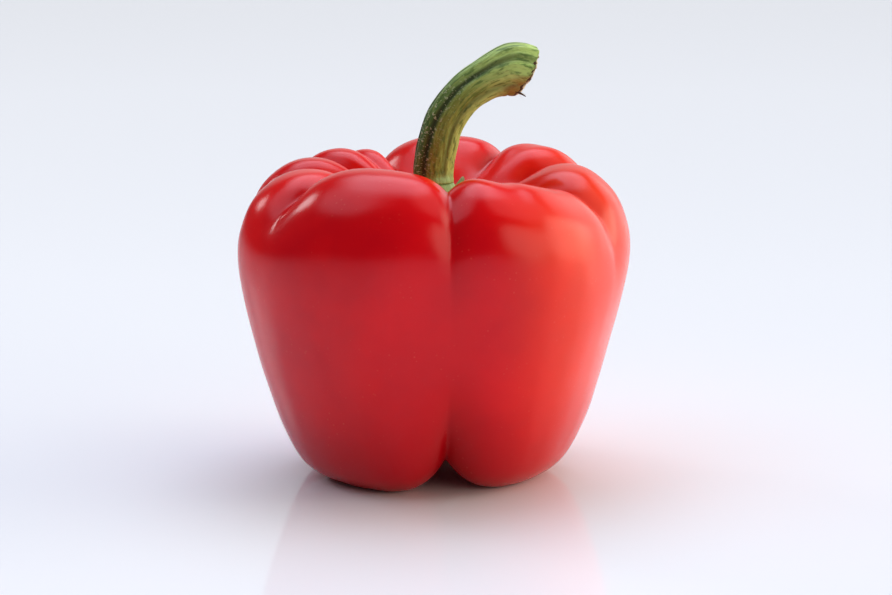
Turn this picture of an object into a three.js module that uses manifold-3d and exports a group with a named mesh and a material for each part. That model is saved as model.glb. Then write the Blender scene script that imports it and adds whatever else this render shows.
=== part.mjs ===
import * as THREE from 'three';
import { mergeVertices } from 'three/addons/utils/BufferGeometryUtils.js';
import Module from 'manifold-3d';

// A blocky red bell pepper standing on its blossom end, with its calyx and its curved stem.
// Millimetres, +Z up, the stem hollow on top. Azimuth is in degrees: 0 is +X and 90 is +Y.

const SHOULDER_RADIUS = 43;
const FRUIT_HEIGHT = 72;
const FOOT_FLAT = 0.5;
const GAP = 0.3;
const CALYX_REACH = 11.5;
const CALYX_THICKNESS = 1.2;
const COLLAR_RADIUS = 4.4;
const COLLAR_RISE = 6.3;
const COLLAR_LEAN = -0.9;
const FLARE_REACH = 8.0;
const STEM_BASE_RADIUS = 4.3;
const STEM_RIBS = 6;
const STEM_RIB_DEPTH = 0.6;
const STEM_WIDTH_SHARE = 0.94;
const CUT_SLANT = 27;
const CUT_TURN = 22;
const CUT_HOLLOW = 0.7;
const END_ROUND = 1.5;
const END_ROUND_SHARE = 0.1;
const COLUMN_STEP = 4;

// Half section of the fruit from the stem hollow over the crest to the blossom end,
// as shares of the shoulder radius and of the height.
const MERIDIAN = [
  [0.0, 0.814], [0.16, 0.818], [0.29, 0.862], [0.42, 0.935], [0.59, 0.992], [0.77, 0.987],
  [0.925, 0.915], [0.992, 0.815], [1.0, 0.715], [0.965, 0.59], [0.908, 0.45], [0.846, 0.31],
  [0.77, 0.165], [0.665, 0.05], [0.5, 0.0], [0.31, 0.036], [0.13, 0.105], [0.0, 0.112],
];

// Where the parts of that half section lie, as shares of its length.
const HOLLOW = 0.07;
const CREST = 0.21;
const CREST_END = 0.27;
const LOW_SIDE = 0.56;
const FOOT = 0.8;
const FOOT_END = 0.84;
const BLOSSOM = 0.97;

// Rings along the half section, from the blossom end up, closer where it curves most.
const RING_BANDS = [
  { from: 0.9, to: 1, count: 4 },
  { from: 0.68, to: 0.9, count: 9 },
  { from: 0.36, to: 0.68, count: 6 },
  { from: 0.16, to: 0.36, count: 7 },
  { from: 0, to: 0.16, count: 7 },
];

// Each lobe: its azimuth, its reach, the rise of its crest and the reach of its foot.
const LOBES = [
  { azimuth: -118, reach: 1.02, crest: 1.2, foot: 1.055 },
  { azimuth: -76, reach: 1.0, crest: 0.1, foot: 1.0 },
  { azimuth: -58, reach: 1.0, crest: -1.9, foot: 0.99 },
  { azimuth: -32, reach: 1.0, crest: -4.2, foot: 1.0 },
  { azimuth: 3, reach: 0.995, crest: -2.2, foot: 1.015 },
  { azimuth: 38, reach: 1.0, crest: -0.4, foot: 1.0 },
  { azimuth: 88, reach: 1.0, crest: 0.3, foot: 1.0 },
  { azimuth: 122, reach: 1.0, crest: -2.0, foot: 1.0 },
  { azimuth: 140, reach: 1.0, crest: -1.0, foot: 1.02 },
  { azimuth: 170, reach: 1.02, crest: -1.3, foot: 1.06 },
  { azimuth: 197, reach: 1.04, crest: -1.6, foot: 1.11 },
];

// Each groove between lobes: its azimuth, its depth at the shoulder, the side and the foot,
// and where along the half section its shoulder crease has faded out.
// Only the grooves between the four chambers of the fruit run on to the foot.
const GROOVES = [
  { azimuth: -147, shoulder: 4.0, side: 0.4, foot: 0, fade: 0.38 },
  { azimuth: -85.5, shoulder: 3.7, side: 2.2, foot: 7.5, fade: 0.62 },
  { azimuth: -21, shoulder: 3.2, side: 0.6, foot: 0, fade: 0.5 },
  { azimuth: 21, shoulder: 5.0, side: 1.8, foot: 6.0, fade: 0.5 },
  { azimuth: 60.5, shoulder: 4.5, side: 0.8, foot: 0, fade: 0.5 },
  { azimuth: 116.5, shoulder: 5.2, side: 2.2, foot: 7.5, fade: 0.5 },
  { azimuth: 130, shoulder: 1.6, side: 0.5, foot: 0, fade: 0.5 },
  { azimuth: 153, shoulder: 4.0, side: 0.8, foot: 0, fade: 0.5 },
  { azimuth: 180, shoulder: 4.0, side: 1.0, foot: 4.5, fade: 0.42 },
];
const CHAMBER_GROOVES = GROOVES.filter((groove) => groove.foot > 0);
// Degrees of a shoulder crease's half width to one step of its sharpness.
const CREASE_WIDTH = 6.5;
const LEAST_SHARPNESS = 2.6;
const FOOT_SHARPNESS = 4.0;

// The calyx teeth: azimuth and length.
const TEETH = [
  { azimuth: -112, length: 2.6 },
  { azimuth: -52, length: 3.2 },
  { azimuth: 6, length: 2.8 },
  { azimuth: 67, length: 5.6 },
  { azimuth: 126, length: 2.9 },
  { azimuth: 187, length: 3.4 },
];
const TOOTH_HALF_WIDTH = 14;

// The stem's centre line in the plane y = 0, starting above the collar, and its half height along it.
const STEM_LINE = [
  [-1.1, 0], [-0.9, 3.2], [-0.05, 7.8], [1.8, 13.6], [5.7, 19.0], [10.9, 22.7], [15.3, 24.6], [18.5, 24.6],
];
const STEM_HALF_HEIGHTS = [1.08, 1.1, 1.09, 1.06, 1.06, 1.15, 1.37, 1.42];

const wasm = await Module();
wasm.setup();

function smoothstep(start, end, x) {
  return THREE.MathUtils.smoothstep(x, start, end);
}

function turn(from, to) {
  return THREE.MathUtils.euclideanModulo(to - from, 360);
}

const meridian = new THREE.SplineCurve(
  MERIDIAN.map(([radius, height]) => new THREE.Vector2(radius * SHOULDER_RADIUS, height * FRUIT_HEIGHT)),
);
meridian.arcLengthDivisions = 800;
const meridianLength = meridian.getLength();

// A lobe property at an azimuth, eased from one lobe to the next.
function lobeValue(azimuth, property) {
  const k = LOBES.findIndex((lobe, i) => {
    const next = LOBES[(i + 1) % LOBES.length];
    return turn(lobe.azimuth, azimuth) < turn(lobe.azimuth, next.azimuth);
  });
  const lobe = LOBES[k];
  const next = LOBES[(k + 1) % LOBES.length];
  const share = turn(lobe.azimuth, azimuth) / turn(lobe.azimuth, next.azimuth);
  return THREE.MathUtils.lerp(lobe[property], next[property], smoothstep(0, 1, share));
}

// Sum of the grooves at an azimuth. Each one ends half way to its neighbours,
// and depthAt gives its depth from its line (0) to its ends (1), half its width away.
function grooveSum(azimuth, grooves, depthAt) {
  return grooves.reduce((sum, groove, k) => {
    const before = grooves[(k + grooves.length - 1) % grooves.length];
    const after = grooves[(k + 1) % grooves.length];
    const ahead = turn(groove.azimuth, azimuth);
    const offset = ahead < 180 ? ahead : ahead - 360;
    const room = offset < 0 ? turn(before.azimuth, groove.azimuth) : turn(groove.azimuth, after.azimuth);
    return sum + depthAt(groove, Math.min(Math.abs(offset) / (room / 2), 1), room / 2);
  }, 0);
}

// How far the grooves draw the skin in: creased at the shoulder and the foot, a soft valley at the side.
function grooveDepth(azimuth, s) {
  const foot = smoothstep(LOW_SIDE, FOOT, s) * (1 - smoothstep(FOOT_END, BLOSSOM, s));
  const upperDepth = (groove, x, halfWidth) => {
    const shoulder = smoothstep(HOLLOW, CREST, s) * (1 - smoothstep(CREST_END, groove.fade, s));
    const side = s > CREST && s < FOOT ? Math.max(1 - shoulder - foot, 0) : 0;
    const valley = Math.cos((Math.PI * x) / 2) ** 2;
    const sharpness = Math.max(halfWidth / CREASE_WIDTH, LEAST_SHARPNESS);
    const crease = shoulder * (1 - x) ** sharpness + (1 - shoulder) * valley;
    return shoulder * groove.shoulder * crease + side * groove.side * valley;
  };
  const footDepth = (groove, x) => foot * groove.foot * (1 - x) ** FOOT_SHARPNESS;
  return grooveSum(azimuth, GROOVES, upperDepth) + grooveSum(azimuth, CHAMBER_GROOVES, footDepth);
}

// A point of the skin, or of a surface lying a little above it.
function skin(azimuth, s, lift) {
  const point = meridian.getPointAt(s);
  const tangent = meridian.getTangentAt(s);
  const reach = lobeValue(azimuth, 'reach');
  const footReach = lobeValue(azimuth, 'foot');
  const crest = lobeValue(azimuth, 'crest');
  const upper = 1 - smoothstep(CREST, FOOT, s);
  const raise = lift - grooveDepth(azimuth, s);
  const scale = THREE.MathUtils.lerp(footReach, reach, upper);
  const radius = Math.max(point.x * scale - tangent.y * raise, 0);
  const height = point.y + crest * smoothstep(HOLLOW * 0.6, CREST, s) * upper + tangent.x * raise;
  const angle = THREE.MathUtils.degToRad(azimuth);
  return new THREE.Vector3(radius * Math.cos(angle), radius * Math.sin(angle), height);
}

// Columns that fall on every groove and crowd towards it.
function grooveColumns() {
  return GROOVES.flatMap((groove, k) => {
    const width = turn(groove.azimuth, GROOVES[(k + 1) % GROOVES.length].azimuth);
    const count = Math.max(4, Math.round(width / COLUMN_STEP));
    return Array.from({ length: count }, (unused, i) => {
      const u = i / count;
      return groove.azimuth + width * (u - 0.06 * Math.sin(2 * Math.PI * u));
    });
  });
}

// Even columns all round.
function evenColumns(count) {
  return Array.from({ length: count }, (unused, i) => (i * 360) / count);
}

// A turned body whose rings and columns are then put in place one vertex at a time.
function moulded(profile, columns, place) {
  const geometry = new THREE.LatheGeometry(profile, columns.length);
  const position = geometry.attributes.position;
  for (let i = 0; i < position.count; i += 1) {
    const ring = i % profile.length;
    const column = Math.floor(i / profile.length) % columns.length;
    const point = place(columns[column], ring);
    position.setXYZ(i, point.x, point.y, point.z);
  }
  return geometry;
}

function toManifold(geometry) {
  const bare = geometry.clone();
  bare.deleteAttribute('normal');
  bare.deleteAttribute('uv');
  const merged = mergeVertices(bare, 1e-4);
  const index = merged.index.array;
  const triangles = [];
  for (let i = 0; i < index.length; i += 3) {
    const [a, b, c] = index.slice(i, i + 3);
    if (a !== b && b !== c && c !== a) {
      triangles.push(a, b, c);
    }
  }
  const vertProperties = Float32Array.from(merged.attributes.position.array);
  const mesh = new wasm.Mesh({ numProp: 3, vertProperties, triVerts: Uint32Array.from(triangles) });
  return new wasm.Manifold(mesh);
}

function toGeometry(manifold) {
  const mesh = manifold.getMesh();
  const geometry = new THREE.BufferGeometry();
  geometry.setAttribute('position', new THREE.BufferAttribute(mesh.vertProperties.slice(), 3));
  geometry.setIndex(new THREE.BufferAttribute(mesh.triVerts.slice(), 1));
  geometry.computeVertexNormals();
  return geometry;
}

// Fruit: one fleshy body, its feet worn to small flat spots where it stands.
function fruitGeometry() {
  const stations = [1];
  RING_BANDS.forEach(({ from, to, count }) => {
    for (let i = 1; i <= count; i += 1) {
      stations.push(THREE.MathUtils.lerp(to, from, i / count));
    }
  });
  const profile = stations.map((s) => meridian.getPointAt(s));
  const body = moulded(profile, grooveColumns(), (azimuth, ring) => skin(azimuth, stations[ring], 0));
  const ground = new THREE.BoxGeometry(4 * SHOULDER_RADIUS, 4 * SHOULDER_RADIUS, 20);
  ground.translate(0, 0, FOOT_FLAT - 10);
  return toGeometry(toManifold(body).subtract(toManifold(ground)));
}

// Calyx: a leathery star lying in the stem hollow, flaring up to a collar under the stem.
function calyxReach(azimuth) {
  let reach = CALYX_REACH;
  TEETH.forEach((tooth) => {
    const ahead = turn(tooth.azimuth, azimuth);
    const offset = Math.min(ahead, 360 - ahead) / TOOTH_HALF_WIDTH;
    reach += tooth.length * Math.max(1 - offset, 0) ** 1.4;
  });
  return reach;
}

// How far the collar has risen and leant at a distance from its middle.
function collarShift(distance) {
  const flare = THREE.MathUtils.clamp((FLARE_REACH - distance) / (FLARE_REACH - COLLAR_RADIUS), 0, 1);
  return new THREE.Vector3(COLLAR_LEAN, 0, COLLAR_RISE).multiplyScalar(flare ** 2.4);
}

function calyxGeometry() {
  const under = [0, 0.25, 0.5, 0.72, 0.88, 0.97].map((share) => ({ share, lift: 0 }));
  const edge = [{ share: 1, lift: 0.5 }];
  const over = [0.97, 0.88, 0.76, 0.64, 0.54, 0.45].map((share) => ({ share, lift: 1 }));
  const rings = [...under, ...edge, ...over];
  const collar = { share: 0, lift: 1 };
  const profile = [...rings, collar, collar].map((ring) => new THREE.Vector2(1, ring.lift));
  const geometry = moulded(profile, evenColumns(60), (azimuth, k) => {
    const ring = rings[k];
    const top = skin(azimuth, 0, GAP + CALYX_THICKNESS).setX(0).setY(0);
    if (!ring) {
      const radius = k === rings.length ? COLLAR_RADIUS : 0;
      const angle = THREE.MathUtils.degToRad(azimuth);
      const outward = new THREE.Vector3(radius * Math.cos(angle), radius * Math.sin(angle), 0);
      return top.add(outward).add(collarShift(0));
    }
    const distance = ring.share * calyxReach(azimuth);
    const point = skin(azimuth, distance / meridianLength, GAP + ring.lift * CALYX_THICKNESS);
    return ring.lift === 1 ? point.add(collarShift(distance)) : point;
  });
  return toGeometry(toManifold(geometry));
}

// Stem: a ribbed stalk that bends over, thicker towards the slanting cut at its end,
// where its outer shoulder is rounded off.
function stemGeometry() {
  const base = skin(0, 0, GAP + CALYX_THICKNESS).z + COLLAR_RISE + GAP;
  const line = new THREE.CatmullRomCurve3(STEM_LINE.map(([x, z]) => new THREE.Vector3(x, 0, base + z)));
  const heights = new THREE.SplineCurve(STEM_HALF_HEIGHTS.map((value, i) => new THREE.Vector2(i, value)));
  const steps = 28;
  const rings = [{ along: 0, share: 0, sunk: 0 }];
  for (let i = 0; i <= steps; i += 1) {
    rings.push({ along: i / steps, share: 1, sunk: 0 });
  }
  rings.push({ along: 1, share: 0.86, sunk: 0.1 });
  rings.push({ along: 1, share: 0.62, sunk: CUT_HOLLOW });
  rings.push({ along: 1, share: 0, sunk: CUT_HOLLOW });
  const profile = rings.map((ring) => new THREE.Vector2(ring.share, ring.along));
  const slant = Math.tan(THREE.MathUtils.degToRad(CUT_SLANT));
  const sideSlant = Math.tan(THREE.MathUtils.degToRad(CUT_TURN));
  const side = new THREE.Vector3(0, 1, 0);
  const geometry = moulded(profile, evenColumns(36), (azimuth, k) => {
    const { along, share, sunk } = rings[k];
    const angle = THREE.MathUtils.degToRad(azimuth);
    const centre = line.getPoint(along);
    const forward = line.getTangent(along);
    const inward = new THREE.Vector3().crossVectors(side, forward);
    const radius = STEM_BASE_RADIUS * heights.getPoint(along).y;
    const crown = Math.abs(Math.sin((STEM_RIBS * angle) / 2)) ** 0.8;
    const late = THREE.MathUtils.clamp(1 - (1 - along) / END_ROUND_SHARE, 0, 1);
    const rounding = END_ROUND * Math.max(-Math.cos(angle), 0) ** 2 * (1 - Math.sqrt(1 - late ** 2));
    const ribbed = share * (radius - STEM_RIB_DEPTH * (1 - crown) - rounding);
    const within = ribbed * Math.cos(angle);
    const across = ribbed * Math.sin(angle) * STEM_WIDTH_SHARE;
    const behind = (within * slant + across * sideSlant) * smoothstep(0.55, 1, along);
    return centre
      .addScaledVector(inward, within)
      .addScaledVector(side, across)
      .addScaledVector(forward, -behind - sunk);
  });
  return toGeometry(toManifold(geometry));
}

const pieces = [
  { name: 'fruit', geometry: fruitGeometry(), colour: 0xb8121b, roughness: 0.22 },
  { name: 'calyx', geometry: calyxGeometry(), colour: 0x6f8f3c, roughness: 0.6 },
  { name: 'stem', geometry: stemGeometry(), colour: 0x5f6f26, roughness: 0.62 },
];

const pepper = new THREE.Group();
pepper.name = 'bell_pepper';
pieces.forEach(({ name, geometry, colour, roughness }) => {
  const material = new THREE.MeshStandardMaterial({ color: colour, roughness, metalness: 0 });
  const mesh = new THREE.Mesh(geometry, material);
  mesh.name = name;
  pepper.add(mesh);
});

// The bounding box is centred over the origin and stands on z = 0.
const bounds = new THREE.Box3().setFromObject(pepper);
const centre = bounds.getCenter(new THREE.Vector3());
pepper.children.forEach((mesh) => {
  mesh.geometry.translate(-centre.x, -centre.y, -bounds.min.z);
});

export default pepper;
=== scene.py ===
import math

import bpy
import numpy as np
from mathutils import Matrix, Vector, noise


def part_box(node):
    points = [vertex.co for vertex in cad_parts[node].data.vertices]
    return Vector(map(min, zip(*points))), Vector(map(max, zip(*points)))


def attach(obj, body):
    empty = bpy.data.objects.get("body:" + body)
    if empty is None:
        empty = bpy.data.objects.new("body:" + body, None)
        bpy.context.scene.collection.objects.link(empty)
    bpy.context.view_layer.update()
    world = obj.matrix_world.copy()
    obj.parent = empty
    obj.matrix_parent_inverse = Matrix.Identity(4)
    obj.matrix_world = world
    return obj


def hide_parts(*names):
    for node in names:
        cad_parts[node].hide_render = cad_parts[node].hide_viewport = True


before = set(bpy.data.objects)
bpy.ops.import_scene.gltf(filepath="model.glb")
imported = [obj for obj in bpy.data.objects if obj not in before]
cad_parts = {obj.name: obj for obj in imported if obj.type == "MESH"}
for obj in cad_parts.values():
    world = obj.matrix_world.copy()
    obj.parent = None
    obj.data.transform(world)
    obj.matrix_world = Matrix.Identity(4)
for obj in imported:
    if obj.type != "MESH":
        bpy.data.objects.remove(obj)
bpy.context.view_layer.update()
MM = 0.001

# ------------------------------------------------------------------ fruit
# The fruit is one hollow berry of crisp flesh under a waxy red skin. It swells
# from the stem hollow in uneven lobes, and the grooves between its four chambers
# run on down to the feet it stands on. Lengths here are in millimetres.

SHOULDER_RADIUS = 43.0
FRUIT_HEIGHT = 72.0
FOOT_FLAT = 0.5
# Half section, from the stem hollow over the crest to the blossom end, as shares
# of the shoulder radius and of the height.
MERIDIAN = [
    (0.0, 0.814), (0.16, 0.818), (0.29, 0.862), (0.42, 0.935), (0.59, 0.992),
    (0.77, 0.987), (0.925, 0.915), (0.992, 0.815), (1.0, 0.715), (0.965, 0.59),
    (0.908, 0.45), (0.846, 0.31), (0.77, 0.165), (0.665, 0.05), (0.5, 0.0),
    (0.31, 0.036), (0.13, 0.105), (0.0, 0.112),
]
# Where the parts of the half section lie, as shares of its length.
HOLLOW, CREST, CREST_END = 0.07, 0.21, 0.27
LOW_SIDE, FOOT, FOOT_END, BLOSSOM = 0.56, 0.8, 0.84, 0.97
# Each lobe: azimuth in degrees, reach, rise of its crest, reach of its foot.
LOBES = [
    (3, 0.995, -2.2, 1.015), (38, 1.0, -0.4, 1.0), (88, 1.0, 0.3, 1.0),
    (122, 1.0, -2.0, 1.0), (140, 1.0, -1.0, 1.02), (170, 1.02, -1.3, 1.06),
    (197, 1.04, -1.6, 1.11), (242, 1.02, 1.2, 1.055), (284, 1.0, 0.1, 1.0),
    (302, 1.0, -1.9, 0.99), (328, 1.0, -4.2, 1.0),
]
# Each groove: azimuth, its depth at the shoulder, the side and the foot, and where
# along the half section its shoulder crease has faded out.
GROOVES = [
    (21, 5.0, 1.8, 6.0, 0.5), (60.5, 4.5, 0.8, 0.0, 0.5), (116.5, 5.2, 2.2, 7.5, 0.5),
    (130, 1.6, 0.5, 0.0, 0.5), (153, 4.0, 0.8, 0.0, 0.5), (180, 4.0, 1.0, 4.5, 0.42),
    (213, 4.0, 0.4, 0.0, 0.42), (274.5, 3.7, 2.7, 7.5, 0.62), (339, 3.2, 0.6, 0.0, 0.5),
]
# Degrees of a shoulder crease's half width to one step of its sharpness.
CREASE_WIDTH, LEAST_SHARPNESS = 6.5, 2.6
FOOT_SHARPNESS = 4.0
DEEPEST_GROOVE = 7.5


def smoothstep(start, end, x):
    t = np.clip((x - start) / (end - start), 0.0, 1.0)
    return t * t * (3.0 - 2.0 * t)


def spline(points, samples):
    """An even Catmull-Rom curve through points, with its ends doubled."""
    p = np.array([points[0], *points, points[-1]], float)
    x = np.linspace(0.0, len(points) - 1.0, samples)
    k = np.minimum(x.astype(int), len(points) - 2)
    t = (x - k)[:, None]
    a, b, c, d = p[k], p[k + 1], p[k + 2], p[k + 3]
    return 0.5 * (
        2 * b + (c - a) * t + (2 * a - 5 * b + 4 * c - d) * t**2
        + (3 * b - a - 3 * c + d) * t**3
    )


half_section = spline(np.array(MERIDIAN) * (SHOULDER_RADIUS, FRUIT_HEIGHT), 4000)
station = np.concatenate(
    [[0.0], np.cumsum(np.hypot(*np.diff(half_section, axis=0).T))]
)
section_length = station[-1]
station /= section_length


def on_section(s):
    """Radius, height and outward normal of the half section at shares s of its length."""
    def at(x):
        return [np.interp(x, station, half_section[:, i]) for i in (0, 1)]
    radius, height = at(s)
    r0, z0 = at(np.clip(s - 0.001, 0, 1))
    r1, z1 = at(np.clip(s + 0.001, 0, 1))
    length = np.hypot(r1 - r0, z1 - z0)
    return radius, height, (z0 - z1) / length, (r1 - r0) / length


def lobe_value(azimuth, column):
    """A lobe's property at an azimuth, eased from one lobe to the next."""
    table = np.array(LOBES, float)
    x = np.concatenate([table[:, 0] - 360, table[:, 0], table[:, 0] + 360])
    y = np.tile(table[:, column], 3)
    k = np.searchsorted(x, azimuth % 360, side="right") - 1
    share = smoothstep(0, 1, (azimuth % 360 - x[k]) / (x[k + 1] - x[k]))
    return y[k] + (y[k + 1] - y[k]) * share


def groove_sum(azimuth, grooves, depth_at):
    """Depth of all the grooves at an azimuth: each ends half way to its neighbours."""
    total = 0.0
    for k, groove in enumerate(grooves):
        before = (groove[0] - grooves[k - 1][0]) % 360
        after = (grooves[(k + 1) % len(grooves)][0] - groove[0]) % 360
        offset = (azimuth - groove[0] + 180) % 360 - 180
        half_width = np.where(offset < 0, before, after) / 2
        x = np.minimum(np.abs(offset) / half_width, 1.0)
        total = total + depth_at(groove, x, half_width)
    return total


def groove_depth(azimuth, s):
    """Creased at the shoulder and the foot, a soft valley down the side."""
    foot = smoothstep(LOW_SIDE, FOOT, s) * (1 - smoothstep(FOOT_END, BLOSSOM, s))
    chambers = [groove for groove in GROOVES if groove[3] > 0]

    def upper_depth(groove, x, half_width):
        top = smoothstep(HOLLOW, CREST, s) * (1 - smoothstep(CREST_END, groove[4], s))
        side = np.where((s > CREST) & (s < FOOT), np.maximum(1 - top - foot, 0), 0)
        valley = np.cos(math.pi * x / 2) ** 2
        sharpness = np.maximum(half_width / CREASE_WIDTH, LEAST_SHARPNESS)
        crease = top * (1 - x) ** sharpness + (1 - top) * valley
        return top * groove[1] * crease + side * groove[2] * valley

    def foot_depth(groove, x, _):
        return foot * groove[3] * (1 - x) ** FOOT_SHARPNESS

    upper = groove_sum(azimuth, GROOVES, upper_depth)
    return upper + groove_sum(azimuth, chambers, foot_depth)


def skin(azimuth, s, lift=0.0):
    """Points of the skin, in millimetres from the fruit's own axis and floor."""
    radius, height, out, up = on_section(s)
    upper = 1 - smoothstep(CREST, FOOT, s)
    foot_reach = lobe_value(azimuth, 3)
    reach = foot_reach + (lobe_value(azimuth, 1) - foot_reach) * upper
    rise = lobe_value(azimuth, 2) * smoothstep(HOLLOW * 0.6, CREST, s) * upper
    raised = lift - groove_depth(azimuth, s)
    r = np.maximum(radius * reach + out * raised, 0.0)
    turn = np.radians(azimuth)
    return np.stack([r * np.cos(turn), r * np.sin(turn), height + rise + up * raised], -1)


def vertices(piece):
    """The places of a piece's vertices, in millimetres."""
    flat = np.empty(len(piece.data.vertices) * 3)
    piece.data.vertices.foreach_get("co", flat)
    return flat.reshape(-1, 3) / MM


def place_vertices(piece, points):
    piece.data.vertices.foreach_set("co", (points * MM).ravel())
    piece.data.update()


def mark(piece, name, values):
    """Stores one number or one vector on each vertex, for a material to read."""
    kind, key = ("FLOAT", "value") if values.ndim == 1 else ("FLOAT_VECTOR", "vector")
    piece.data.attributes.new(name, kind, "POINT").data.foreach_set(key, values.ravel())


def named(name):
    """The piece just added, under its own name."""
    piece = bpy.context.active_object
    piece.name = piece.data.name = name
    return piece


def subdivided(piece, levels):
    """The piece with its mesh smoothed by Subdivision Surface, and shaded smooth."""
    bpy.ops.object.select_all(action="DESELECT")
    piece.select_set(True)
    bpy.context.view_layer.objects.active = piece
    smoothing = piece.modifiers.new("smoothing", "SUBSURF")
    smoothing.levels = smoothing.render_levels = levels
    smoothing.use_limit_surface = False
    bpy.ops.object.modifier_apply(modifier="smoothing")
    bpy.ops.object.shade_smooth()


COLUMNS, ROWS = 216, 108
bpy.ops.object.select_all(action="DESELECT")
bpy.ops.mesh.primitive_uv_sphere_add(
    segments=COLUMNS, ring_count=ROWS, radius=SHOULDER_RADIUS * MM
)
fruit = named("pepper_fruit")

# The sphere's meridians are moved round until one of them lies in every groove.
ball = vertices(fruit)
around = np.degrees(np.arctan2(ball[:, 1], ball[:, 0])) % 360
groove_line = np.array([groove[0] for groove in GROOVES], float)
column_step = 360 / COLUMNS
nearest_column = np.round(groove_line / column_step) * column_step
around = np.interp(
    around,
    np.concatenate([nearest_column[-1:] - 360, nearest_column, nearest_column[:1] + 360]),
    np.concatenate([groove_line[-1:] - 360, groove_line, groove_line[:1] + 360]),
)
down = np.arccos(np.clip(ball[:, 2] / SHOULDER_RADIUS, -1, 1)) / math.pi

# The fruit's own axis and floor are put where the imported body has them.
smooth_skin = skin(around, down)
low, high = (np.array(corner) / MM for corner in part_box("fruit"))
axis = (low + high - smooth_skin.min(axis=0) - smooth_skin.max(axis=0)) / 2
axis[2] = low[2] - FOOT_FLAT

# Flesh never swells quite evenly: broad shallow dents, and long ripples that run
# down the side, all fading out in the stem hollow.
DENT_SIZE, DENT_DEPTH = 19.0, 0.35
RIPPLE_WIDTH, RIPPLE_DEPTH, RIPPLE_RUN = 6.5, 0.09, 2.2
turn = np.radians(around)
ripple_place = np.stack([
    np.cos(turn) * SHOULDER_RADIUS / RIPPLE_WIDTH,
    np.sin(turn) * SHOULDER_RADIUS / RIPPLE_WIDTH,
    down * RIPPLE_RUN,
], -1)
waves = np.array([
    DENT_DEPTH * noise.noise(Vector(dent)) + RIPPLE_DEPTH * noise.noise(Vector(ripple))
    for dent, ripple in zip(smooth_skin / DENT_SIZE, ripple_place)
])
waves *= smoothstep(0.12, 0.2, down)
grown = skin(around, down, waves)
grown[:, 2] = np.maximum(grown[:, 2], FOOT_FLAT)
place_vertices(fruit, grown + axis)
mark(fruit, "groove", groove_depth(around, down) / DEEPEST_GROOVE)
mark(fruit, "station", down)
subdivided(fruit, 1)


def linear(code):
    """An sRGB hex colour as linear red, green, blue and full alpha."""
    shares = [int(code[i:i + 2], 16) / 255 for i in (0, 2, 4)]
    return (
        *(c / 12.92 if c <= 0.04045 else ((c + 0.055) / 1.055) ** 2.4 for c in shares),
        1.0,
    )


def add(tree, kind, inputs=None, **settings):
    """Adds a node, sets its settings, and fills or links its inputs."""
    node = tree.nodes.new(kind)
    for name, value in settings.items():
        setattr(node, name, value)
    for name, value in (inputs or {}).items():
        if isinstance(value, bpy.types.NodeSocket):
            tree.links.new(value, node.inputs[name])
        else:
            node.inputs[name].default_value = value
    return node


def new_material(name):
    """An empty node material, its tree and its output node."""
    material = bpy.data.materials.new(name)
    material.use_nodes = True
    material.node_tree.nodes.clear()
    tree = material.node_tree
    return material, tree, add(tree, "ShaderNodeOutputMaterial")


# Sockets of a Mix node that mixes colours, which share their names with others.
FACTOR, COLOUR_A, COLOUR_B, MIXED = 0, 6, 7, 2

# Waxy pepper skin: a smooth, very thin cuticle over flesh that lets a little light
# in, so the red glows and the gloss is soft-edged. Ripe red varies in broad patches,
# with fine pale pores of about 0.3 mm and faint rub marks on the shoulder.
SKIN_RED, SKIN_DEEP, SKIN_GLOW_ORANGE = "f0040e", "d60214", "f21c04"
SKIN_WARM_LIT, SKIN_FOOT_SHADE = "f4440e", "b20012"
SKIN_CREASE_SHADE, SKIN_PORE, BLOSSOM_SCAR = "b0030e", "ee6a55", "6b4a2a"
skin_material, tree, output = new_material("waxy_pepper_skin")
where = add(tree, "ShaderNodeTexCoord").outputs["Object"]
groove_share = add(tree, "ShaderNodeAttribute", attribute_name="groove").outputs["Fac"]
station_share = add(tree, "ShaderNodeAttribute", attribute_name="station").outputs["Fac"]

patches = add(tree, "ShaderNodeTexNoise", {"Vector": where, "Scale": 1 / 0.026, "Detail": 3.0})
patch_share = add(tree, "ShaderNodeMapRange", {
    "Value": patches.outputs["Fac"], "From Min": 0.35, "From Max": 0.68,
})
ripe = add(tree, "ShaderNodeMix", {
    FACTOR: patch_share.outputs["Result"],
    COLOUR_A: linear(SKIN_DEEP), COLOUR_B: linear(SKIN_RED),
}, data_type="RGBA")

# Painted light: the right side, facing the warm soft boxes low on the right, is mixed towards a
# lighter orange. The shoulder round the hollow is mixed towards orange as a painted glow.
across = add(tree, "ShaderNodeSeparateXYZ", {"Vector": where})
warm_light_share = add(tree, "ShaderNodeMapRange", {
    "Value": across.outputs["X"], "From Min": 9 * MM, "From Max": 38 * MM, "To Max": 0.7,
}, interpolation_type="SMOOTHSTEP")
warm_lit = add(tree, "ShaderNodeMix", {
    FACTOR: warm_light_share.outputs["Result"],
    COLOUR_A: ripe.outputs[MIXED], COLOUR_B: linear(SKIN_WARM_LIT),
}, data_type="RGBA")
# Painted shade: towards the feet, low by the table, the skin is mixed to a deeper crimson.
foot_shade_share = add(tree, "ShaderNodeMapRange", {
    "Value": across.outputs["Z"], "From Min": 30 * MM, "From Max": 4 * MM, "To Max": 0.6,
}, interpolation_type="SMOOTHSTEP")
foot_shaded = add(tree, "ShaderNodeMix", {
    FACTOR: foot_shade_share.outputs["Result"],
    COLOUR_A: warm_lit.outputs[MIXED], COLOUR_B: linear(SKIN_FOOT_SHADE),
}, data_type="RGBA")
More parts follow.
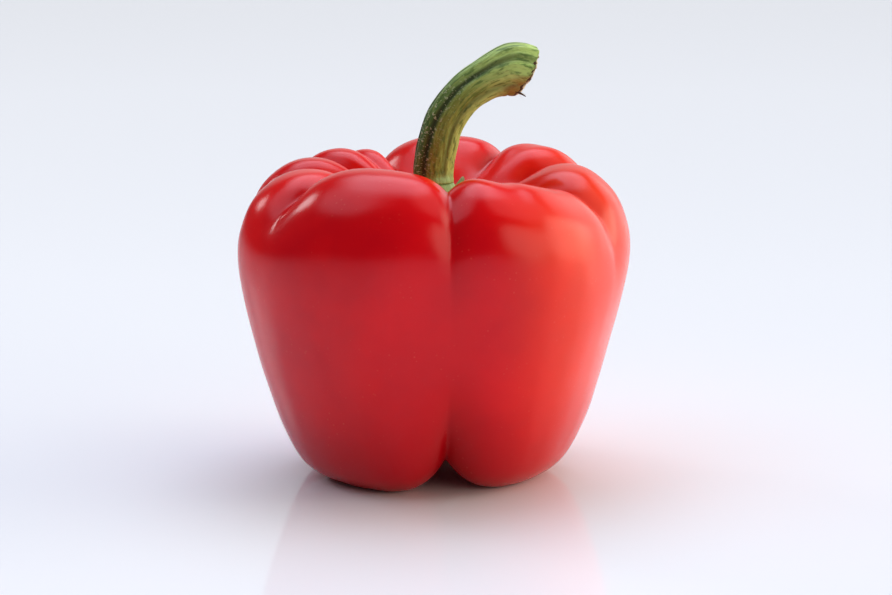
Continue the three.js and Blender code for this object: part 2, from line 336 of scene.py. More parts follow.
# Painted glow: round the stem hollow the shoulder is mixed towards orange.
shoulder_glow_share = add(tree, "ShaderNodeMapRange", {
    "Value": station_share, "From Min": 0.36, "From Max": 0.16, "To Max": 0.55,
})
shoulder = add(tree, "ShaderNodeMix", {
    FACTOR: shoulder_glow_share.outputs["Result"],
    COLOUR_A: foot_shaded.outputs[MIXED], COLOUR_B: linear(SKIN_GLOW_ORANGE),
}, data_type="RGBA")
# Painted shade: the skin is darkened deep in the grooves.
crease_shade_share = add(tree, "ShaderNodeMapRange", {
    "Value": groove_share, "From Min": 0.12, "From Max": 0.8, "To Max": 0.8,
})
crease_shaded = add(tree, "ShaderNodeMix", {
    FACTOR: crease_shade_share.outputs["Result"],
    COLOUR_A: shoulder.outputs[MIXED], COLOUR_B: linear(SKIN_CREASE_SHADE),
}, data_type="RGBA")

# Pores are drawn a little coarser than they are, so that they show at this size.
pores = add(tree, "ShaderNodeTexVoronoi", {"Vector": where, "Scale": 1 / 0.0016})
pore_share = add(tree, "ShaderNodeMapRange", {
    "Value": pores.outputs["Distance"], "From Min": 0.17, "From Max": 0.1,
})
pore_patches = add(tree, "ShaderNodeTexNoise", {"Vector": where, "Scale": 1 / 0.009})
pore_patch_share = add(tree, "ShaderNodeMapRange", {
    "Value": pore_patches.outputs["Fac"], "From Min": 0.45, "From Max": 0.7, "To Max": 0.18,
})
pore_amount = add(tree, "ShaderNodeMath", {
    0: pore_share.outputs["Result"], 1: pore_patch_share.outputs["Result"],
}, operation="MULTIPLY")
speckled = add(tree, "ShaderNodeMix", {
    FACTOR: pore_amount.outputs["Value"],
    COLOUR_A: crease_shaded.outputs[MIXED], COLOUR_B: linear(SKIN_PORE),
}, data_type="RGBA")

# The dry scar where the blossom fell off, at the very end of the half section.
scar_share = add(tree, "ShaderNodeMapRange", {
    "Value": station_share, "From Min": 0.983, "From Max": 0.99,
})
skin_colour = add(tree, "ShaderNodeMix", {
    FACTOR: scar_share.outputs["Result"],
    COLOUR_A: speckled.outputs[MIXED], COLOUR_B: linear(BLOSSOM_SCAR),
}, data_type="RGBA")

# Gloss is a little uneven where the wax has been touched, and fine level rub marks
# cross the shoulder. The skin's cells roughen it very slightly all over.
touched = add(tree, "ShaderNodeTexNoise", {"Vector": where, "Scale": 1 / 0.013, "Detail": 2.0})
skin_roughness = add(tree, "ShaderNodeMapRange", {
    "Value": touched.outputs["Fac"], "From Min": 0.3, "From Max": 0.75,
    "To Min": 0.16, "To Max": 0.23,
})
level = add(tree, "ShaderNodeMapping", {"Vector": where, "Scale": (140.0, 140.0, 1500.0)})
rubs = add(tree, "ShaderNodeTexNoise", {
    "Vector": level.outputs["Vector"], "Scale": 1.0, "Detail": 3.0, "Roughness": 0.6,
})
cells = add(tree, "ShaderNodeTexNoise", {"Vector": where, "Scale": 1 / 0.0006, "Detail": 2.0})
cell_bump = add(tree, "ShaderNodeBump", {
    "Height": cells.outputs["Fac"], "Strength": 0.25, "Distance": 0.05 * MM,
})
rub_bump = add(tree, "ShaderNodeBump", {
    "Height": rubs.outputs["Fac"], "Strength": 0.25, "Distance": 0.05 * MM,
    "Normal": cell_bump.outputs["Normal"],
})
surface = add(tree, "ShaderNodeBsdfPrincipled", {
    "Base Color": skin_colour.outputs[MIXED],
    "Roughness": skin_roughness.outputs["Result"],
    "IOR": 1.42,
    "Specular IOR Level": 0.45,
    "Specular Tint": (1.0, 0.8, 0.88, 1.0),
    "Subsurface Weight": 0.1,
    "Subsurface Radius": (1.0, 0.12, 0.08),
    "Subsurface Scale": 2.5 * MM,
    "Normal": rub_bump.outputs["Normal"],
})
tree.links.new(surface.outputs["BSDF"], output.inputs["Surface"])
fruit.data.materials.clear()
fruit.data.materials.append(skin_material)

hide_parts("fruit")
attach(fruit, "root")

# ------------------------------------------------------------------ calyx
# The calyx is the leathery green star that held the flower. It lies on the skin in
# the stem hollow, flares up to a collar under the stem, and its pointed teeth have
# dried a little at their tips.

CALYX_REACH = 11.5
CALYX_THICKNESS = 1.2
COLLAR_RADIUS = 4.4
COLLAR_RISE = 6.3
COLLAR_LEAN = -0.9
FLARE_REACH = 8.0
GAP = 0.3
# Each tooth: azimuth in degrees and length.
TEETH = [(6, 2.8), (67, 5.6), (126, 2.9), (187, 3.4), (248, 2.6), (308, 3.2)]
TOOTH_HALF_WIDTH = 14.0
TIP_CURL = 1.3
VEINS, VEIN_HEIGHT = 12, 0.09
EDGE_WOBBLE = 0.35
# The collar's top as a share of the way to the rim, and how steeply it flares up.
COLLAR_SHARE = 0.34
FLARE_STEEPNESS = 2.4

bpy.ops.object.select_all(action="DESELECT")
bpy.ops.mesh.primitive_uv_sphere_add(
    segments=180, ring_count=40, radius=CALYX_REACH * MM
)
calyx = named("calyx_star")
ball = vertices(calyx)
calyx_turn = np.arctan2(ball[:, 1], ball[:, 0])
calyx_azimuth = np.degrees(calyx_turn) % 360
tilt = np.arccos(np.clip(ball[:, 2] / CALYX_REACH, -1, 1)) / math.pi

# From the collar's middle out to the rim over the top, and back along the underside.
share = 1 - np.abs(2 * tilt - 1)
over = tilt < 0.5
tooth_reach = np.zeros(len(ball))
toothed = np.zeros(len(ball))
for tooth_azimuth, tooth_length in TEETH:
    offset = np.abs((calyx_azimuth - tooth_azimuth + 180) % 360 - 180) / TOOTH_HALF_WIDTH
    point = np.maximum(1 - offset, 0)
    tooth_reach += tooth_length * point**1.4
    toothed = np.maximum(toothed, point)
edge_wobble = np.array([
    noise.noise(Vector((math.cos(a) * 3.1, math.sin(a) * 3.1, 4.0))) for a in calyx_turn
])
reach = CALYX_REACH + tooth_reach + EDGE_WOBBLE * edge_wobble
distance = np.where(
    over & (share < COLLAR_SHARE),
    COLLAR_RADIUS * share / COLLAR_SHARE,
    COLLAR_RADIUS + (reach - COLLAR_RADIUS) * (share - COLLAR_SHARE) / (1 - COLLAR_SHARE),
)
distance = np.where(over, distance, reach * share)
flare = np.clip((FLARE_REACH - distance) / (FLARE_REACH - COLLAR_RADIUS), 0, 1)
thinning = 1 - 0.45 * smoothstep(CALYX_REACH - 1, CALYX_REACH + 3, distance)
rounded_edge = np.sqrt(1 - np.clip((share - 0.93) / 0.07, 0, 1) ** 2)
from_first_tooth = np.radians(calyx_azimuth - TEETH[0][0])
vein = np.cos(from_first_tooth * VEINS) * VEIN_HEIGHT * smoothstep(5, 8, distance)
thickness = CALYX_THICKNESS * thinning * (0.5 + 0.5 * rounded_edge) + vein
under_lift = GAP + 0.5 * CALYX_THICKNESS * thinning * (1 - rounded_edge)
calyx_lift = np.where(over, GAP + thickness, under_lift)
star = skin(calyx_azimuth, distance / section_length, calyx_lift)
flat_top = skin(np.zeros(1), np.zeros(1), GAP + CALYX_THICKNESS)[0, 2]
on_collar = over & (share <= COLLAR_SHARE)
star[on_collar, 0] = distance[on_collar] * np.cos(calyx_turn[on_collar])
star[on_collar, 1] = distance[on_collar] * np.sin(calyx_turn[on_collar])
star[on_collar, 2] = flat_top
star[:, 0] += np.where(over, COLLAR_LEAN * flare**FLARE_STEEPNESS, 0)
star[:, 2] += np.where(over, COLLAR_RISE * flare**FLARE_STEEPNESS, 0)
# The tips have curled up off the skin as they dried.
star[:, 2] += TIP_CURL * smoothstep(CALYX_REACH + 1, CALYX_REACH + 5.5, distance) * toothed
place_vertices(calyx, star + axis)
mark(calyx, "reach", distance / (CALYX_REACH + 4))
mark(calyx, "round", np.stack([
    np.cos(calyx_turn), np.sin(calyx_turn), distance / CALYX_REACH,
], -1))
subdivided(calyx, 1)

# Calyx tissue: a satin, slightly fleshy green, palest on the collar, with fine veins
# that run outwards and dry brown tips.
CALYX_PALE, CALYX_GREEN, CALYX_VEIN, CALYX_DRY = "9cc880", "6f9c4a", "48682a", "8b7a46"
calyx_material, tree, output = new_material("calyx_green_tissue")
where = add(tree, "ShaderNodeTexCoord").outputs["Object"]
reach_share = add(tree, "ShaderNodeAttribute", attribute_name="reach").outputs["Fac"]
round_place = add(tree, "ShaderNodeAttribute", attribute_name="round").outputs["Vector"]
greening = add(tree, "ShaderNodeMapRange", {
    "Value": reach_share, "From Min": 0.36, "From Max": 0.62,
})
tissue = add(tree, "ShaderNodeMix", {
    FACTOR: greening.outputs["Result"],
    COLOUR_A: linear(CALYX_PALE), COLOUR_B: linear(CALYX_GREEN),
}, data_type="RGBA")
outward = add(tree, "ShaderNodeMapping", {"Vector": round_place, "Scale": (11.0, 11.0, 1.2)})
veins = add(tree, "ShaderNodeTexNoise", {
    "Vector": outward.outputs["Vector"], "Scale": 1.0, "Detail": 4.0,
})
vein_share = add(tree, "ShaderNodeMapRange", {
    "Value": veins.outputs["Fac"], "From Min": 0.42, "From Max": 0.66, "To Max": 0.5,
})
veined = add(tree, "ShaderNodeMix", {
    FACTOR: vein_share.outputs["Result"],
    COLOUR_A: tissue.outputs[MIXED], COLOUR_B: linear(CALYX_VEIN),
}, data_type="RGBA")
dry_noise = add(tree, "ShaderNodeTexNoise", {
    "Vector": where, "Scale": 1 / 0.0015, "Detail": 3.0,
})
dry_edge = add(tree, "ShaderNodeMath", {
    0: dry_noise.outputs["Fac"], 1: 0.16, 2: reach_share,
}, operation="MULTIPLY_ADD")
dry_share = add(tree, "ShaderNodeMapRange", {
    "Value": dry_edge.outputs["Value"], "From Min": 1.0, "From Max": 1.1,
})
calyx_colour = add(tree, "ShaderNodeMix", {
    FACTOR: dry_share.outputs["Result"],
    COLOUR_A: veined.outputs[MIXED], COLOUR_B: linear(CALYX_DRY),
}, data_type="RGBA")
calyx_grain = add(tree, "ShaderNodeTexNoise", {
    "Vector": where, "Scale": 1 / 0.0006, "Detail": 3.0,
})
grain_bump = add(tree, "ShaderNodeBump", {
    "Height": calyx_grain.outputs["Fac"], "Strength": 0.35, "Distance": 0.12 * MM,
})
vein_bump = add(tree, "ShaderNodeBump", {
    "Height": veins.outputs["Fac"], "Strength": 0.6, "Distance": 0.2 * MM,
    "Normal": grain_bump.outputs["Normal"],
})
surface = add(tree, "ShaderNodeBsdfPrincipled", {
    "Base Color": calyx_colour.outputs[MIXED],
    "Roughness": 0.5,
    "IOR": 1.42,
    "Subsurface Weight": 0.08,
    "Subsurface Radius": (0.4, 0.6, 0.15),
    "Subsurface Scale": 1.0 * MM,
    "Normal": vein_bump.outputs["Normal"],
})
tree.links.new(surface.outputs["BSDF"], output.inputs["Surface"])
calyx.data.materials.clear()
calyx.data.materials.append(calyx_material)
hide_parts("calyx")
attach(calyx, "root")

# ------------------------------------------------------------------- stem
# The stem carried the fruit on the plant. It is a tough ribbed stalk that bent over
# under the load, swells where it joined the branch, and was cut there at a slant.

STEM_BASE_RADIUS = 4.3
STEM_RIBS = 6
STEM_RIB_DEPTH = 0.6
STEM_WIDTH_SHARE = 0.94
CUT_SLANT = math.radians(27)
CUT_TURN = math.radians(22)
END_ROUND = 1.5
END_ROUND_SHARE = 0.1
# Centre line above the collar in the plane y = 0, and half height along it.
STEM_LINE = [
    (-1.1, 0.0), (-0.9, 3.2), (-0.05, 7.8), (1.8, 13.6), (5.7, 19.0), (10.9, 22.7),
    (15.3, 24.6), (18.5, 24.6),
]
STEM_HALF_HEIGHTS = [1.08, 1.1, 1.09, 1.06, 1.06, 1.15, 1.37, 1.42]
STEM_LENGTH = 30.0
STEM_SIDES, STEM_STEPS = 96, 96
# Low lumps in the rind: their height, and the scale of the noise that makes them.
LUMP_HEIGHT, LUMP_SCALE = 0.26, 2.6
# At the foot, how far the lowest ring is tucked in and lowered, and how far the ring
# above it hangs down past it as a rim.
FOOT_RIM_TUCK, FOOT_DROP, FOOT_RIM_DROP = 0.16, 0.05, 0.75
# Rings that step in over the cut to its middle: share of the radius, and how deep the
# drying pith has sunk there.
CUT_RINGS = [
    (0.97, -0.1), (0.91, 0.05), (0.84, 0.25), (0.74, 0.5), (0.6, 0.62), (0.42, 0.8),
    (0.22, 1.2), (0.0, 1.4),
]


def straight_tube(name, sides, radius, length, steps, end_rings=1):
    """A tube drawn straight up out of a ring, its foot and its end closed to points."""
    bpy.ops.object.select_all(action="DESELECT")
    bpy.ops.mesh.primitive_circle_add(vertices=sides, radius=radius * MM, fill_type="NOTHING")
    tube = named(name)
    bpy.ops.object.mode_set(mode="EDIT")
    bpy.ops.mesh.select_all(action="SELECT")
    for rise in [length / steps] * steps + [1.0] * end_rings:
        bpy.ops.mesh.extrude_region_move(TRANSFORM_OT_translate={"value": (0, 0, rise * MM)})
    bpy.ops.mesh.merge(type="CENTER")
    bpy.ops.object.mode_set(mode="OBJECT")
    for vertex in tube.data.vertices:
        vertex.select = abs(vertex.co.z) < 0.01 * MM
    bpy.ops.object.mode_set(mode="EDIT")
    bpy.ops.mesh.extrude_region_move(TRANSFORM_OT_translate={"value": (0, 0, -1 * MM)})
    bpy.ops.mesh.merge(type="CENTER")
    bpy.ops.mesh.select_all(action="SELECT")
    bpy.ops.mesh.normals_make_consistent(inside=False)
    bpy.ops.object.mode_set(mode="OBJECT")
    return tube


stem = straight_tube(
    "ribbed_stem", STEM_SIDES, STEM_BASE_RADIUS, STEM_LENGTH, STEM_STEPS, len(CUT_RINGS)
)
stem_curve = spline(STEM_LINE, 2001)
stem_heights = spline([(0.0, value) for value in STEM_HALF_HEIGHTS], 2001)[:, 1]
stem_foot = flat_top + COLLAR_RISE + GAP


def along_stem(along):
    """Centre, forward and inward directions in the plane y = 0, and half height."""
    x = np.clip(along, 0, 1) * 2000
    low_x, high_x = np.maximum(x - 2, 0), np.minimum(x + 2, 2000)
    grid = np.arange(2001)

    def at(where_on, column):
        return np.interp(where_on, grid, stem_curve[:, column])

    forward = np.stack([at(high_x, 0) - at(low_x, 0), at(high_x, 1) - at(low_x, 1)], -1)
    forward /= np.linalg.norm(forward, axis=-1, keepdims=True)
    centre = np.stack([at(x, 0), stem_foot + at(x, 1)], -1)
    inward = np.stack([forward[..., 1], -forward[..., 0]], -1)
    return centre, forward, inward, STEM_BASE_RADIUS * np.interp(x, grid, stem_heights)


def stem_crown(angle):
    """From 0 in the furrows between the ribs to 1 on their backs."""
    return np.abs(np.sin(STEM_RIBS * angle / 2)) ** 0.8


def on_stem(angle, along, share, proud=0.0, ahead=0.0):
    """Points of the stem. Angle 0 is the inner side of its bend, 270 degrees the front."""
    centre, forward, inward, half = along_stem(along)
    late = np.clip(1 - (1 - along) / END_ROUND_SHARE, 0, 1)
    rounding = END_ROUND * np.maximum(-np.cos(angle), 0) ** 2 * (1 - np.sqrt(1 - late**2))
    swell = half - STEM_RIB_DEPTH * (1 - stem_crown(angle)) - rounding + proud
    within = share * swell * np.cos(angle)
    # Its foot is as wide as it is deep, like the collar under it.
    width_share = STEM_WIDTH_SHARE + (1 - STEM_WIDTH_SHARE) * (1 - smoothstep(0, 0.06, along))
    across = share * swell * np.sin(angle) * width_share
    behind = within * math.tan(CUT_SLANT) + across * math.tan(CUT_TURN)
    onward = ahead - behind * smoothstep(0.55, 1, along)
    flat = centre + inward * within[..., None] + forward * onward[..., None]
    return np.stack([flat[..., 0], across, flat[..., 1]], -1)


def noise_round(angles, alongs, width_scale, length_scale):
    """Noise that runs on round the stem and along it."""
    return np.array([
        noise.noise(Vector(
            (width_scale * math.cos(a), width_scale * math.sin(a), length_scale * t)
        ))
        for a, t in zip(angles, alongs)
    ])


reel = vertices(stem)
stem_angle = np.arctan2(reel[:, 1], reel[:, 0])
stem_along = np.clip(reel[:, 2] / STEM_LENGTH, 0, 1)
cut_ring = np.round(np.maximum(reel[:, 2] - STEM_LENGTH, 0)).astype(int)
stem_share = np.array([1.0] + [ring[0] for ring in CUT_RINGS])[cut_ring]
stem_share[reel[:, 2] < -0.5] = 0.0
sunk = np.array([0.0] + [ring[1] for ring in CUT_RINGS])[cut_ring]
fine_ribs = np.cos(stem_angle * STEM_RIBS * 3 + 1.4) * smoothstep(0.5, 1, stem_along)
stem_proud = (
    LUMP_HEIGHT * noise_round(stem_angle, stem_along, LUMP_SCALE, LUMP_SCALE)
    + 0.12 * noise_round(stem_angle, stem_along, 9.0, 14.0)
    + 0.08 * fine_ribs
)
rough_cut = noise_round(stem_angle, stem_share, 4.0, 6.0)
stem_ahead = np.where(cut_ring > 0, -sunk + 0.35 * rough_cut * (cut_ring > 2), 0.0)
# The foot is round, and its rim hangs down over the joint with the collar.
into_foot = 1 - smoothstep(0.012, 0.07, stem_along)
round_foot = STEM_RIB_DEPTH * (1 - stem_crown(stem_angle)) + 0.02
stem_proud += into_foot * (round_foot - stem_proud)
foot_ring = np.round(reel[:, 2] * STEM_STEPS / STEM_LENGTH)
stem_proud -= FOOT_RIM_TUCK * (foot_ring == 0)
stem_ahead -= FOOT_DROP * (foot_ring == 0) + FOOT_RIM_DROP * (foot_ring == 1)
place_vertices(
    stem, on_stem(stem_angle, stem_along, stem_share, stem_proud, stem_ahead) + axis
)
mark(stem, "crown", stem_crown(stem_angle))
mark(stem, "along", stem_along)
mark(stem, "cut", (cut_ring > 0) * (1.001 - stem_share))
mark(stem, "round", np.stack([np.cos(stem_angle), np.sin(stem_angle), stem_along], -1))
subdivided(stem, 1)

# Stem rind: a matt fibrous green, dark and flecked with pale hairs on its outer ribs, olive in
# front, paler inside, yellow-green and brown towards the cut. The dark outside of the bend and
# the paler inside are partly the rind's own colour and partly painted shade and painted light,
# the inside facing the low light on the right. The furrows between the ribs hold painted shade.
STEM_DARK, STEM_OLIVE, STEM_PALE_AND_LIT = "416b26", "7f8f38", "b2c96a"
STEM_TIP, STEM_BROWN, STEM_FLECK = "bcd878", "8a6a28", "cbd8a6"
STEM_MOTTLE, STEM_FURROW_SHADE, STEM_FOOT_PALE = "93b255", "243a10", "9cc47c"
CUT_PITH, CUT_WOOD = "c9b98a", "8a6a3c"
stem_material, tree, output = new_material("ribbed_stem_rind")
round_place = add(tree, "ShaderNodeAttribute", attribute_name="round").outputs["Vector"]
along_share = add(tree, "ShaderNodeAttribute", attribute_name="along").outputs["Fac"]
crown_share = add(tree, "ShaderNodeAttribute", attribute_name="crown").outputs["Fac"]
cut_share = add(tree, "ShaderNodeAttribute", attribute_name="cut").outputs["Fac"]
where = add(tree, "ShaderNodeTexCoord").outputs["Object"]
turned = add(tree, "ShaderNodeSeparateXYZ", {"Vector": round_place})

# Streaks, mottling, blotches and hairs are noise stretched along the stem. One unit is
# about 4.6 mm round it and 30 mm along it.
rind_noises = []
for noise_scale, detail in (
    ((4.5, 4.5, 5.0), 5.0), ((11.0, 11.0, 22.0), 3.0),
    ((7.0, 7.0, 16.0), 4.0), ((6.0, 6.0, 95.0), 2.0),
):
    place = add(tree, "ShaderNodeMapping", {"Vector": round_place, "Scale": noise_scale})
    rind_noises.append(add(tree, "ShaderNodeTexNoise", {
        "Vector": place.outputs["Vector"], "Scale": 1.0, "Detail": detail,
    }).outputs["Fac"])
streak, mottle, blotch, hairs = rind_noises

# Side of the stem, wandering with the streaks: about -0.6 outside the bend, 1.4 inside.
side = add(tree, "ShaderNodeMath", {
    0: streak, 1: 0.9, 2: turned.outputs["X"],
}, operation="MULTIPLY_ADD").outputs["Value"]
tip_lean = add(tree, "ShaderNodeMath", {
    0: turned.outputs["X"], 1: -0.12, 2: along_share,
}, operation="MULTIPLY_ADD").outputs["Value"]
tip_place = add(tree, "ShaderNodeMath", {
    0: streak, 1: 0.3, 2: tip_lean,
}, operation="MULTIPLY_ADD").outputs["Value"]
bruise_place = add(tree, "ShaderNodeMath", {
    0: side, 1: 0.3, 2: along_share,
}, operation="MULTIPLY_ADD").outputs["Value"]
foot_place = add(tree, "ShaderNodeMath", {
    0: side, 1: -0.07, 2: along_share,
}, operation="MULTIPLY_ADD").outputs["Value"]

# How each layer of colour spreads: what it follows, where it begins and is full there,
# and its least and greatest share.
spread = {}
for layer, follows, begins, full, least, greatest in (
    # Partly painted: darker outside the bend as painted shade, paler inside it as painted
    # light.
    ("olive_front", side, -0.25, 0.3, 0.0, 1.0),
    ("pale_and_lit_inside", side, 0.75, 1.25, 0.0, 1.0),
    ("tip", tip_place, 0.62, 1.05, 0.0, 1.0),
    ("mottling", mottle, 0.5, 0.64, 0.0, 0.6),
    ("blotches", blotch, 0.5, 0.36, 0.0, 0.7),
    # Painted shade: the furrows between the ribs are darkened.
    ("furrows", crown_share, 0.75, 0.25, 0.0, 0.92),
    ("furrows_along", along_share, 1.0, 0.6, 0.4, 1.0),
    ("furrows_across", side, 0.2, 0.7, 1.0, 0.5),
    ("bruise", bruise_place, 1.04, 1.24, 0.0, 0.85),
    ("foot", foot_place, 0.07, -0.06, 0.0, 0.95),
    ("hairs", hairs, 0.58, 0.66, 0.0, 0.7),
    ("hairs_across", turned.outputs["X"], 0.3, -0.6, 0.1, 1.0),
    ("hairs_along", along_share, 0.75, 0.4, 0.1, 1.0),
    ("cut_wood", cut_share, 0.0, 0.05, 0.0, 1.0),
    ("cut_pith", cut_share, 0.16, 0.4, 0.0, 1.0),
):
    spread[layer] = add(tree, "ShaderNodeMapRange", {
        "Value": follows, "From Min": begins, "From Max": full,
        "To Min": least, "To Max": greatest,
    }, interpolation_type="SMOOTHSTEP").outputs["Result"]
# The painted shade in the furrows fades towards the cut and inside the bend; the short pale
# hairs that lie across the ribs are thickest on the outer ones and thin out along the stem.
for layer, limit in (
    ("furrows", "furrows_along"), ("furrows", "furrows_across"),
    ("hairs", "hairs_across"), ("hairs", "hairs_along"),
):
    spread[layer] = add(tree, "ShaderNodeMath", {
        0: spread[layer], 1: spread[limit],
    }, operation="MULTIPLY").outputs["Value"]

# The layers from the rind outwards, bruised brown under the swelling beside the cut and
# pale green at the collar. The cut shows a woody ring round a pale spongy pith.
rind_colour = linear(STEM_DARK)
for layer, colour in (
    ("olive_front", STEM_OLIVE), ("pale_and_lit_inside", STEM_PALE_AND_LIT), ("tip", STEM_TIP),
    ("mottling", STEM_MOTTLE), ("blotches", STEM_DARK), ("furrows", STEM_FURROW_SHADE),
    ("bruise", STEM_BROWN), ("foot", STEM_FOOT_PALE), ("hairs", STEM_FLECK),
    ("cut_wood", CUT_WOOD), ("cut_pith", CUT_PITH),
):
    rind_colour = add(tree, "ShaderNodeMix", {
        FACTOR: spread[layer], COLOUR_A: rind_colour, COLOUR_B: linear(colour),
    }, data_type="RGBA").outputs[MIXED]

streak_height = add(tree, "ShaderNodeMath", {
    0: mottle, 1: 0.5, 2: streak,
}, operation="MULTIPLY_ADD").outputs["Value"]
rind_grain = add(tree, "ShaderNodeTexNoise", {
    "Vector": where, "Scale": 1 / 0.0005, "Detail": 3.0,
})
grain_bump = add(tree, "ShaderNodeBump", {
    "Height": rind_grain.outputs["Fac"], "Strength": 0.5, "Distance": 0.12 * MM,
})
streak_bump = add(tree, "ShaderNodeBump", {
    "Height": streak_height, "Strength": 0.7, "Distance": 0.5 * MM,
    "Normal": grain_bump.outputs["Normal"],
})
hair_bump = add(tree, "ShaderNodeBump", {
    "Height": spread["hairs"], "Strength": 0.6, "Distance": 0.15 * MM,
    "Normal": streak_bump.outputs["Normal"],
})
surface = add(tree, "ShaderNodeBsdfPrincipled", {
    "Base Color": rind_colour,
    "Roughness": 0.5,
    "IOR": 1.45,
    "Specular IOR Level": 0.45,
    "Normal": hair_bump.outputs["Normal"],
})
tree.links.new(surface.outputs["BSDF"], output.inputs["Surface"])
stem.data.materials.clear()
stem.data.materials.append(stem_material)
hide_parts("stem")
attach(stem, "root")

# --------------------------------------------------------- dried cut edge
# Where the stem was cut, the rind has dried back to a thin torn edge, dark at its root
# and nearly white along its lip.

RIM_SIDES = 216
RIM_WALL = 0.16
# Rows of the torn strip from inside the rind outwards: share of the stem's radius, and
# place ahead of the cut, the last two as shares of the strip's height.
RIM_ROWS = [(0.955, -0.6), (0.975, -0.1), (0.975, 0.5), (0.965, 1.0)]
bpy.ops.object.select_all(action="DESELECT")
bpy.ops.mesh.primitive_circle_add(vertices=RIM_SIDES, radius=MM, fill_type="NOTHING")
rim = named("dried_cut_edge")
bpy.ops.object.mode_set(mode="EDIT")
bpy.ops.mesh.select_all(action="SELECT")
for row in RIM_ROWS[1:]:
    bpy.ops.mesh.extrude_region_move(TRANSFORM_OT_translate={"value": (0, 0, MM)})
bpy.ops.mesh.select_all(action="SELECT")
bpy.ops.mesh.normals_make_consistent(inside=False)
bpy.ops.object.mode_set(mode="OBJECT")
band = vertices(rim)
rim_angle = np.arctan2(band[:, 1], band[:, 0])
rim_row = np.round(band[:, 2]).astype(int)
torn = (
    np.abs(noise_round(rim_angle, np.full_like(rim_angle, 2.0), 4.0, 1.0))
    + 0.8 * np.abs(noise_round(rim_angle, np.full_like(rim_angle, 7.0), 21.0, 1.0))
)
rim_height = 0.25 + 0.6 * torn + 0.35 * smoothstep(0.1, 0.9, np.cos(rim_angle + 0.5))
rim_ahead = np.array([row[1] for row in RIM_ROWS])[rim_row]
rim_ahead = np.where(rim_ahead > 0, rim_ahead * rim_height, rim_ahead)
rim_share = np.array([row[0] for row in RIM_ROWS])[rim_row]
rim_proud = LUMP_HEIGHT * noise_round(
    rim_angle, np.ones_like(rim_angle), LUMP_SCALE, LUMP_SCALE
)
place_vertices(
    rim, on_stem(rim_angle, np.ones(len(band)), rim_share, rim_proud, rim_ahead) + axis
)
mark(rim, "lip", rim_row / (len(RIM_ROWS) - 1))
thickening = rim.modifiers.new("thickening", "SOLIDIFY")
thickening.thickness = RIM_WALL * MM
thickening.offset = 0.0
bpy.ops.object.modifier_apply(modifier="thickening")
bpy.ops.object.shade_smooth()

# Dried rind: papery and matt, dark brown in blotches and along its root, pale at the lip.
DRY_TAN, DRY_DARK = "dccfa6", "4a301a"
dry_material, tree, output = new_material("dried_rind")
where = add(tree, "ShaderNodeTexCoord").outputs["Object"]
lip_share = add(tree, "ShaderNodeAttribute", attribute_name="lip").outputs["Fac"]
blotches = add(tree, "ShaderNodeTexNoise", {
    "Vector": where, "Scale": 1 / 0.0012, "Detail": 4.0,
})
darkness = add(tree, "ShaderNodeMath", {
    0: lip_share, 1: -0.45, 2: blotches.outputs["Fac"],
}, operation="MULTIPLY_ADD")
dark_share = add(tree, "ShaderNodeMapRange", {
    "Value": darkness.outputs["Value"], "From Min": 0.05, "From Max": 0.3,
}, interpolation_type="SMOOTHSTEP")
dry_colour = add(tree, "ShaderNodeMix", {
    FACTOR: dark_share.outputs["Result"],
    COLOUR_A: linear(DRY_TAN), COLOUR_B: linear(DRY_DARK),
}, data_type="RGBA")
dry_bump = add(tree, "ShaderNodeBump", {
    "Height": blotches.outputs["Fac"], "Strength": 0.5, "Distance": 0.1 * MM,
})
surface = add(tree, "ShaderNodeBsdfPrincipled", {
    "Base Color": dry_colour.outputs[MIXED],
    "Roughness": 0.8,
    "IOR": 1.45,
    "Normal": dry_bump.outputs["Normal"],
})
tree.links.new(surface.outputs["BSDF"], output.inputs["Surface"])
rim.data.materials.append(dry_material)
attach(rim, "root")

# ------------------------------------------------- splinter and fibres
# The knife tore the lowest point of the rind: one dark splinter stands out of it,
# with a few pale fibres as fine as hairs.

# Where they are rooted: angle round the stem, and share of its radius.
CORNER_ANGLE, CORNER_SHARE = math.radians(-38), 0.93
# Each shred: name, length, radius, slope down in degrees, turn to the back, curl, how
# deep it is rooted in the rind, and its paleness.
SHREDS = [
    ("cut_splinter", 3.3, 0.5, 24, 0, 0.3, 1.2, -0.4),
    ("cut_fibre_1", 2.6, 0.05, 4, 14, 0.9, 0.4, 1.2),
    ("cut_fibre_2", 2.2, 0.05, -32, -8, 0.7, 0.4, 1.2),
    ("cut_fibre_3", 3.0, 0.05, 58, 20, -0.6, 0.4, 1.2),
]
corner = on_stem(np.full(1, CORNER_ANGLE), np.ones(1), CORNER_SHARE)[0] + axis
for name, length, radius, down_angle, back_angle, curl, root, paleness in SHREDS:
    shred = straight_tube(name, 10, radius, length, 10)
    straight = vertices(shred)
    out = np.clip(straight[:, 2] / length, 0, 1)
    taper = np.where(np.abs(straight[:, 2] - length / 2) > length / 2 + 0.5, 0, 1 - 0.8 * out)
    slope, swing = math.radians(down_angle), math.radians(back_angle)
    onward = Vector((
        math.cos(slope) * math.cos(swing), math.cos(slope) * math.sin(swing), -math.sin(slope),
    ))
    beside = onward.orthogonal().normalized()
    third = onward.cross(beside)
    place_vertices(
        shred,
        corner
        + np.outer(out * length - root, onward)
        + np.outer(straight[:, 0] * taper, beside)
        + np.outer(straight[:, 1] * taper, third)
        - np.outer(curl * out**2, (0, 0, 1)),
    )
    mark(shred, "lip", np.full(len(straight), paleness))
    subdivided(shred, 1)
    shred.data.materials.append(dry_material)
    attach(shred, "root")

# ------------------------------------------------------------------ stage
# A pale, glossy table top in a soft studio. The strongest soft boxes are warm ones low on
# the right, a cool one high behind and a small one at the left behind. Weaker ones fill
# in low behind, high on the right and high on the left, and the room is dim.

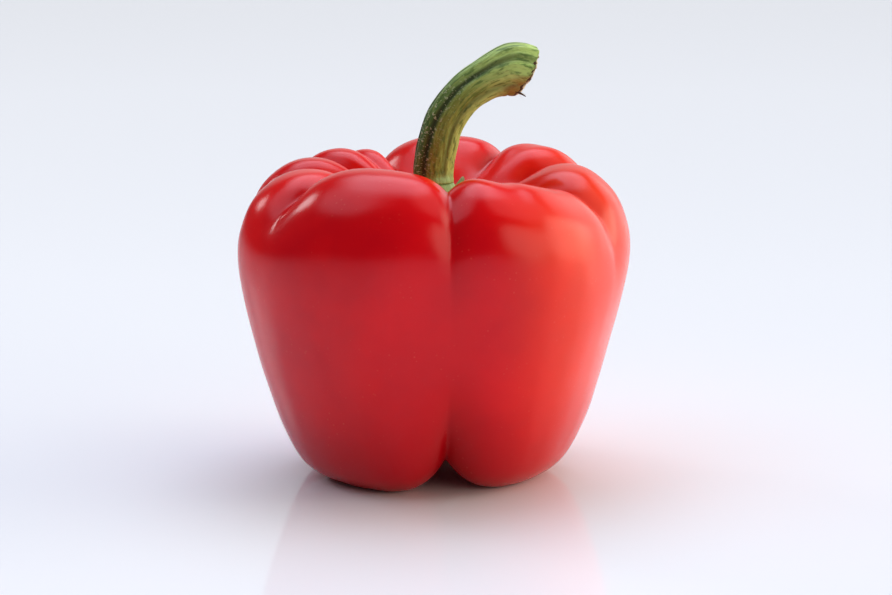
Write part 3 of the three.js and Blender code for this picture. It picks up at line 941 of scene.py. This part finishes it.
FLOOR_COLOUR = "f2f6ff"
bpy.ops.object.select_all(action="DESELECT")
bpy.ops.mesh.primitive_plane_add(size=30.0, location=(0, 0, 0))
floor = named("pale_table_top")
floor_material, tree, output = new_material("pale_table_top")
surface = add(tree, "ShaderNodeBsdfPrincipled", {
    "Base Color": linear(FLOOR_COLOUR),
    "Roughness": 0.08,
    "Specular IOR Level": 0.22,
})
tree.links.new(surface.outputs["BSDF"], output.inputs["Surface"])
floor.data.materials.append(floor_material)

# Each soft box: azimuth and height in degrees, half width of its bright middle and of
# its soft edge in degrees, brightness and colour.
SOFT_BOXES = [
    (5, 14, 12, 32, 3.8, "fff3d9"),
    (5, 60, 12, 30, 1.0, "fff8ee"),
    (-38, 14, 8, 24, 2.4, "fff3d9"),
    (45, 14, 12, 30, 1.5, "ffffff"),
    (90, 14, 12, 30, 0.5, "ffffff"),
    (90, 66, 12, 32, 3.3, "eaf1ff"),
    (180, 55, 12, 30, 1.5, "eaf1ff"),
    (143, 25, 4, 9, 6.0, "ffffff"),
]
ROOM_BRIGHTNESS = 0.09
world = bpy.data.worlds.new("soft_studio")
bpy.context.scene.world = world
world.use_nodes = True
tree = world.node_tree
tree.nodes.clear()
output = add(tree, "ShaderNodeOutputWorld")
direction = add(tree, "ShaderNodeTexCoord").outputs["Generated"]
light = (ROOM_BRIGHTNESS,) * 3
for azimuth, height, core, edge, brightness, colour in SOFT_BOXES:
    turn, rise = math.radians(azimuth), math.radians(height)
    towards = (math.cos(rise) * math.cos(turn), math.cos(rise) * math.sin(turn), math.sin(rise))
    facing = add(
        tree, "ShaderNodeVectorMath", {0: direction, 1: towards}, operation="DOT_PRODUCT"
    )
    lit = add(tree, "ShaderNodeMapRange", {
        "Value": facing.outputs["Value"],
        "From Min": math.cos(math.radians(edge)), "From Max": math.cos(math.radians(core)),
    }, interpolation_type="SMOOTHSTEP")
    glow = tuple(brightness * c for c in linear(colour)[:3])
    light = add(
        tree, "ShaderNodeVectorMath", {0: lit.outputs["Result"], 1: glow, 2: light},
        operation="MULTIPLY_ADD",
    ).outputs["Vector"]
sky = add(tree, "ShaderNodeBackground", {"Color": light})
tree.links.new(sky.outputs["Background"], output.inputs["Surface"])

# The camera looks slightly down at the front through a long lens.
CAMERA_HEIGHT_ANGLE = math.radians(12)
CAMERA_DISTANCE = 0.62
CAMERA_LENS = 110.85
CAMERA_AIM = (1.8, 0.0, 39.6)
aim = Vector(axis + CAMERA_AIM) * MM
camera = bpy.data.objects.new("camera", bpy.data.cameras.new("camera"))
bpy.context.scene.collection.objects.link(camera)
camera.data.sensor_width = 36.0
camera.data.lens = CAMERA_LENS
camera.location = aim + CAMERA_DISTANCE * Vector(
    (0, -math.cos(CAMERA_HEIGHT_ANGLE), math.sin(CAMERA_HEIGHT_ANGLE))
)
camera.rotation_euler = (math.pi / 2 - CAMERA_HEIGHT_ANGLE, 0, 0)
bpy.context.scene.camera = camera
bpy.context.scene.view_settings.view_transform = "Standard"
